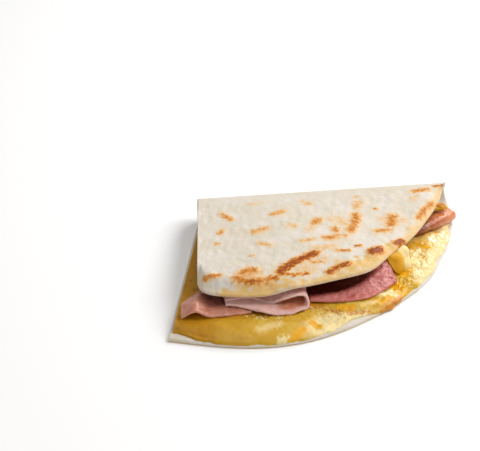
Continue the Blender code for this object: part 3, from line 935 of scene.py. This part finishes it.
def make_upper_cheese(material):
    """The cheese under the upper layer, 1.8 mm thick, its top against the tortilla. Its drape is nearly
    twice as thick, gold at the left and pale at the right, and its foot spreads by 1.6 mm and sinks
    into the pool by 2.2 mm."""
    a, b, middle = grid_of(upper_cheese_spread, stations(300, 0.004, 0.006), stations(110, 0.02, 0.02))
    x, y = middle[..., 0], middle[..., 1]
    marks = cheese_marks(x, y)
    angle = mix(*UPPER_CHEESE_ANGLES, a)
    drape = drape_share(angle, DRAPE_WIDTH + 0.6) * smoothstep((0.5 - b) / 0.2)
    normal = grid_normals(middle)
    up = 0.4 + 0.5 * drape * smoothstep((0.2 - b) / 0.1) + 0.2 * lumps(x, y, 5.0, 31)
    middle = middle + normal * up[..., None]
    up = 0.3 * drape * lumps(x, y + 0.8 * middle[..., 2], 8.0, 33)
    middle = middle + normal * up[..., None]
    foot = drape * (1.0 - smoothstep(b / 0.22))
    out, aside = 1.6 * foot, 0.45 * (angle - DRAPE_ANGLE) * foot
    out_x, out_y = np.cos(np.radians(angle)), -np.sin(np.radians(angle))
    run_x, run_y = out * out_x + aside * out_y, out * out_y - aside * out_x
    middle = middle + np.stack((run_x, run_y, -2.2 * foot), axis=2)
    half = (0.9 + 0.7 * drape + 0.1 * foot) * rounding(middle, ((0.9, 0.9), (1.6, 0.9)))
    across = normal * half[..., None]
    left_face = drape * rise(angle, 40.0, 4.0)
    right_face = drape * smoothstep((44.0 - angle) / 4.0)
    marks = {mark: values * (1.0 - drape) for mark, values in marks.items()}
    marks["gold"] = marks["gold"] + 0.3 * left_face
    marks["egg"] = marks["egg"] + 0.8 * left_face * (1.0 - right_face)
    marks["pale"] = marks["pale"] + 0.7 * right_face
    piece = add_skin("cheese_drape", middle + across, middle - across, marks, material)
    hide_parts("cheese_upper")


def make_ham(name, node, surface, counts, drop, flip, shaded_side, far_in, material):
    """A slice 1.7 mm thick round its packed middle surface, let down by the drop, with small ripples and
    half-round edges. Painted shade in the inner side's tone lies under it, or over it where flip is
    false, and painted shade darkens it behind the line that the painted shade function gives."""
    a, b, middle = grid_of(surface, stations(counts[0], 0.012, 0.012), stations(counts[1], 0.01, 0.01))
    x, y = middle[..., 0], middle[..., 1]
    normal = grid_normals(middle)
    ripple = 0.12 * lumps(x, y, 5.0, 41) + 0.08 * lumps(x, y, 2.2, 42)
    middle = middle + normal * ripple[..., None] - (0.0, 0.0, drop)
    across = normal * (HAM_HALF * rounding(middle, ((HAM_HALF, HAM_HALF), (HAM_HALF, HAM_HALF))))[..., None]
    edge = 1.0 - rounding(middle, ((2.2, 2.2), (2.2, 2.2)))
    inside = shaded_side(a, b)
    inner = (0.0 * a, inside) if flip else (inside, 0.0 * a)
    marks = {"inner": inner, "edge": edge, "far_in": far_in(a, b)}
    piece = add_skin(name, middle + across, middle - across, marks, material)
    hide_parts(node)


def whole(a, b):
    """Painted shade in the inner side's tone shows on all of that side."""
    return np.ones(a.shape)


def shade_in_bend(a, b):
    """Painted shade in the inner side's tone shows only in the pocket by the bend, just behind the
    front edge.
    """
    return bump(a, 0.6, 0.13) * rise(b, 0.01, 0.035)


def right_ridge(a):
    """The b of the right slice's ridge, farther back to the right."""
    return mix(0.03, 0.15, smoothstep(a / 0.85))


def ham_right_ridged(a, b):
    """The right slice with a soft ridge, 1.1 mm high, behind its front edge."""
    x, y, z = ham_right(a, b)
    ridge = bump(b, right_ridge(a), 0.035) * fall(a, 0.75, 0.2)
    return x, y, z + 1.1 * ridge


# Painted shade on the left slice, behind its front edge and away from its left end.
def left_painted_shade(a, b):
    return 0.55 * rise(b, 0.06, 0.07) * rise(a, 0.12, 0.2)


# Painted shade on the middle slice, behind its front.
def middle_painted_shade(a, b):
    return 0.7 * rise(b, 0.12, 0.15)


def right_painted_shade(a, b):
    """Painted shade: dark behind the ridge, under the open gap."""
    return 0.97 * smoothstep((b - right_ridge(a) + 0.012) / 0.04) * fall(a, 0.62, 0.25)


# Painted shade on the corner slice, strongest at its left end.
def corner_painted_shade(a, b):
    return 0.55 * fall(a, 0.1, 0.7)


def make_blister(material):
    """The browned bubble of cheese between the upper layer's rim and the corner slice: an ellipsoid
    with lumps."""
    out, sides, caps = ball(48, 24)
    swell = 1.0 + 0.16 * lumps(4.0 * out[:, 0] + out[:, 2], 4.0 * out[:, 1] - out[:, 2], 3.2, 51)
    points = out * swell[:, None] * BLISTER_RADII + BLISTER_CENTRE
    level = points[:, 2] - BLISTER_CENTRE[2]
    marks = {
        "brown": 0.3 + 0.35 * smoothstep(level / 2.0),
        "gold": np.full_like(level, 0.4),
        "egg": 0.35 - 0.1 * level,
        "pale": np.zeros_like(level),
        "wet": np.full_like(level, 0.8),
    }
    piece = add_mesh("cheese_blister", points, sides.tolist() + caps.tolist(), marks, material)


def make_crumbs(material):
    """Bits of cheese in front of the left slices: small lumpy balls, flattened and half sunk."""
    draw = np.random.default_rng(5)
    out, sides, caps = ball(8, 5)
    points, faces = [], []
    for (x0, y0), (x1, y1), count in CRUMB_LINES:
        shares, asides = draw.uniform(0, 1, count), draw.normal(0, 1.6, count)
        for share, aside, size in zip(shares, asides, draw.uniform(0.45, 1.1, count)):
            x, y = mix(x0, x1, share) - 0.15 * aside, mix(y0, y1, share) + aside
            z = lower_cheese_height(x, y) + CHEESE_LIFT - 0.05 * size
            shape = out * size * draw.uniform(0.75, 1.25, 3) * (1.0 + 0.12 * draw.normal(0, 1, (len(out), 1)))
            first = len(out) * len(points)
            points.append(shape * (1.0, 1.0, 0.6) + (x, y, z))
            faces += (sides + first).tolist() + (caps + first).tolist()
    points = np.vstack(points)
    marks = cheese_marks(points[:, 0], points[:, 1])
    marks["pale"] = np.full(len(points), 0.45)
    marks["gold"] = np.zeros(len(points))
    piece = add_mesh("cheese_crumbs", points, faces, marks, material)


# Camera, light and floor


def stand(made, axes, place):
    """Turns an object's own X, Y and Z along the axes and puts it at the place, in metres."""
    matrix = Matrix(np.column_stack(axes).tolist()).to_4x4()
    matrix.translation = place
    made.matrix_world = matrix


def add_camera():
    """The photograph's view: turned about the vertical and tilted down from the level."""
    turn, tilt = np.radians(CAMERA_TURN), np.radians(CAMERA_TILT)
    forward = np.array((-np.sin(turn) * np.cos(tilt), np.cos(turn) * np.cos(tilt), -np.sin(tilt)))
    right = np.array((np.cos(turn), np.sin(turn), 0.0))
    data = bpy.data.cameras.new("camera")
    data.lens = CAMERA_LENS
    data.sensor_width = CAMERA_SENSOR
    camera = add_object("camera", data)
    place = (np.array(CAMERA_PLACE) - (*ORIGIN, 0.0)) * MM
    stand(camera, (right, np.cross(right, forward), -forward), place.tolist())
    bpy.context.scene.camera = camera


def add_light(name, place, size, power, tone):
    """A square soft box that faces the origin."""
    data = bpy.data.lights.new(name, "AREA")
    data.size = size
    data.energy = power
    data.color = tone
    back = np.array(place) / np.linalg.norm(place)
    side = np.cross((0.0, 0.0, 1.0), back)
    side = side / np.linalg.norm(side)
    stand(add_object(name, data), (side, np.cross(back, side), back), place)


def add_floor():
    data = bpy.data.meshes.new("floor")
    ends = ((-1, -1), (1, -1), (1, 1), (-1, 1))
    corners = [(across * FLOOR_REACH, along * FLOOR_REACH, 0.0) for across, along in ends]
    data.from_pydata(corners, [], [(0, 1, 2, 3)])
    white = bpy.data.materials.new("white board")
    white.use_nodes = True
    shader = white.node_tree.nodes["Principled BSDF"]
    shader.inputs["Base Color"].default_value = (FLOOR_TONE, FLOOR_TONE, FLOOR_TONE, 1.0)
    shader.inputs["Roughness"].default_value = 0.9
    data.materials.append(white)
    add_object("floor", data)


def add_studio():
    world = bpy.data.worlds.new("studio")
    world.use_nodes = True
    sky = world.node_tree.nodes["Background"]
    sky.inputs["Color"].default_value = (1.0, 1.0, 1.0, 1.0)
    sky.inputs["Strength"].default_value = SKY
    bpy.context.scene.world = world
    bpy.context.scene.view_settings.view_transform = "Standard"
    for name, setup in LIGHTS.items():
        add_light(name, *setup)
    add_floor()


def make_piece():
    flour = flour_material()
    melted = cheese_material()
    salmon, pale, rosy, plump = [ham_material(f"{name} ham", *tones) for name, tones in HAM_TONES.items()]
    make_tortilla(flour)
    make_lower_cheese(melted)
    make_upper_cheese(melted)
    make_ham("salmon_slice", "ham_left", ham_left, (110, 120), 0.15, True, whole, left_painted_shade, salmon)
    make_ham("pale_slice", "ham_middle", ham_middle, (220, 120), 0.0, True, shade_in_bend, middle_painted_shade, pale)
    make_ham("rosy_slice", "ham_right", ham_right_ridged, (150, 160), 0.15, True, whole, right_painted_shade, rosy)
    make_ham("plump_slice", "ham_corner", ham_corner, (80, 150), 0.0, False, whole, corner_painted_shade, plump)
    make_blister(melted)
    make_crumbs(melted)


make_piece()
add_camera()
add_studio()
